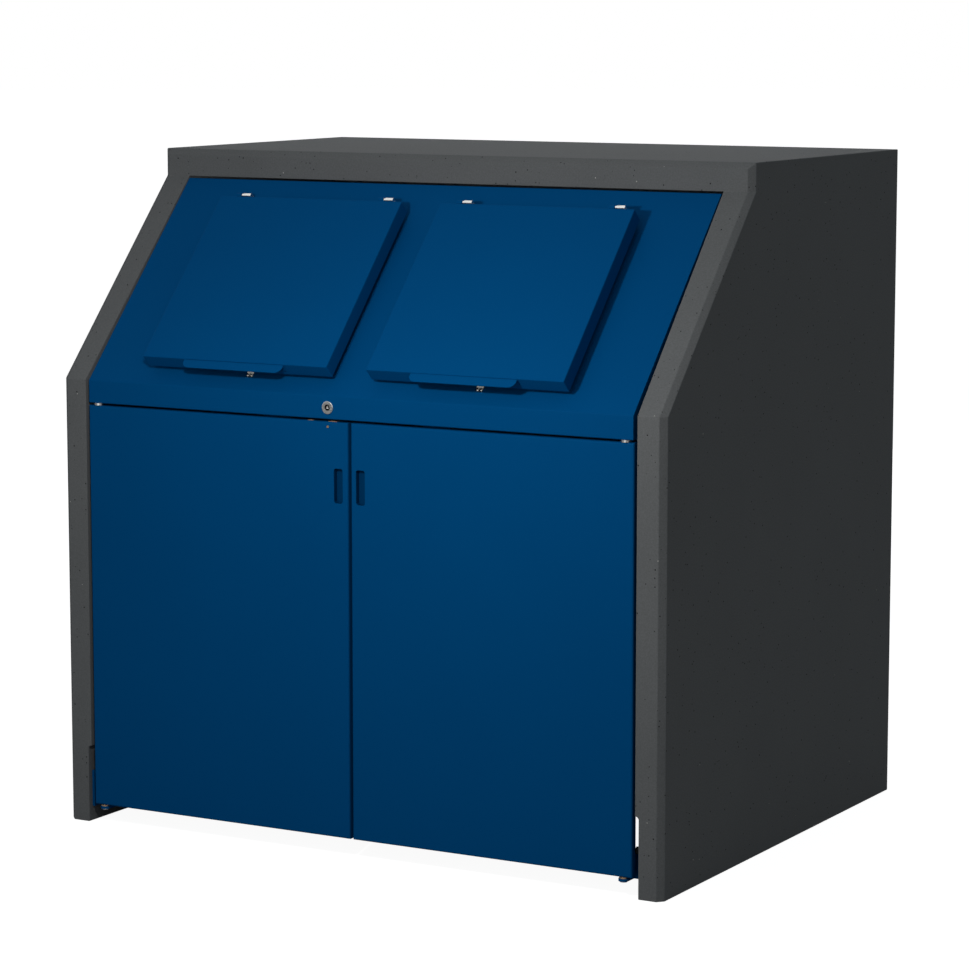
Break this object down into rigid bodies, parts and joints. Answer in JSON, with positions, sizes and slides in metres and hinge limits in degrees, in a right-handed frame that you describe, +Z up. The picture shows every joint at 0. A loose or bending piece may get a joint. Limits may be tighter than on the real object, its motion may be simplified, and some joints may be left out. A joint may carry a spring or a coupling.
{
  "type": "book drop box",
  "caption": "Free-standing concrete-shelled book return with twin slanted inlet lids, folded steel front, and a pair of pivoting doors under a key-locked fascia.",
  "frame": {"origin": "on the floor, in the middle of the bounding box", "axes": "+X to the right seen from the front, +Y to the back, +Z up; the doors and lids face -Y"},
  "size_m": [1.35, 1.0852, 1.35],
  "materials": {
    "concrete": "dark integrally coloured precast concrete, fair faced, sealed matt",
    "blue_coat": "satin powder coat, deep traffic blue",
    "galvanised_steel": "hot-dip galvanised sheet, dull",
    "seal_rubber": "matt black rubber edging",
    "stainless": "satin stainless steel",
    "bronze": "sintered bronze, dull",
    "black_steel": "black oxide",
    "yellow_zinc": "yellow chromated zinc plate",
    "magnet_black": "moulded black magnet housing",
    "zinc_bolt": "bright zinc plate"
  },
  "bodies": {
    "housing": {"anchor_angles": "galvanised_steel", "anchor_bolts": "zinc_bolt", "bracket_bolts": "black_steel", "catch_brackets": "blue_coat", "chute_left": "galvanised_steel", "chute_right": "galvanised_steel", "collar_seal_left": "seal_rubber", "collar_seal_right": "seal_rubber", "concrete_shell": "concrete", "door_magnets": "magnet_black", "front_panel": "blue_coat", "inlet_collar_left": "blue_coat", "inlet_collar_right": "blue_coat", "jamb_bolts": "zinc_bolt", "jamb_left": "blue_coat", "jamb_right": "blue_coat", "lid_hinge_brackets_left": "stainless", "lid_hinge_brackets_right": "stainless", "lid_hinge_pins_left": "stainless", "lid_hinge_pins_right": "stainless", "lid_hinge_screws": "stainless", "lid_rest_left": "stainless", "lid_rest_right": "stainless", "lid_rest_screws": "stainless", "lock_nut": "zinc_bolt", "lock_rosette": "stainless", "lower_bracket_left": "blue_coat", "lower_bracket_right": "blue_coat", "lower_pins": "stainless", "lower_washers": "bronze", "panel_angles": "galvanised_steel", "panel_bolts": "zinc_bolt", "upper_bush_left": "stainless", "upper_bush_right": "stainless"},
    "lid_left": {"lid_pan_left": "blue_coat", "lid_grip_left": "blue_coat", "lid_rib_left": "galvanised_steel", "lid_hinge_leaves_left": "blue_coat"},
    "lid_right": {"lid_pan_right": "blue_coat", "lid_grip_right": "blue_coat", "lid_rib_right": "galvanised_steel", "lid_hinge_leaves_right": "blue_coat"},
    "door_left": {"door_panel_left": "blue_coat", "grip_cup_left": "blue_coat", "door_stiffeners_left": "galvanised_steel", "door_pivot_left": "galvanised_steel", "door_bush_left": "bronze", "strike_plate": "yellow_zinc", "strike_rivets": "yellow_zinc"},
    "door_right": {"door_panel_right": "blue_coat", "grip_cup_right": "blue_coat", "door_stiffeners_right": "galvanised_steel", "door_pivot_right": "galvanised_steel", "door_bush_right": "bronze"},
    "lock": {"lock_core": "stainless", "lock_cam": "yellow_zinc", "cam_screw": "zinc_bolt"}
  },
  "joints": [
    {"name": "lid_left_hinge", "type": "hinge", "parent": "housing", "child": "lid_left", "pos_m": [-0.2575, -0.23832, 1.2628], "axis": [-1, 0, 0], "range_deg": [0, 80]},
    {"name": "lid_right_hinge", "type": "hinge", "parent": "housing", "child": "lid_right", "pos_m": [0.2575, -0.23832, 1.2628], "axis": [-1, 0, 0], "range_deg": [0, 80]},
    {"name": "door_left_hinge", "type": "hinge", "parent": "housing", "child": "door_left", "pos_m": [-0.591, -0.51239, 0.0382], "axis": [0, 0, -1], "range_deg": [0, 110]},
    {"name": "door_right_hinge", "type": "hinge", "parent": "housing", "child": "door_right", "pos_m": [0.591, -0.51239, 0.0382], "axis": [0, 0, 1], "range_deg": [0, 110]},
    {"name": "lock_turn", "type": "hinge", "parent": "housing", "child": "lock", "pos_m": [-0.0477, -0.50239, 0.8805], "axis": [0, -1, 0], "range_deg": [0, 90]}
  ]
}
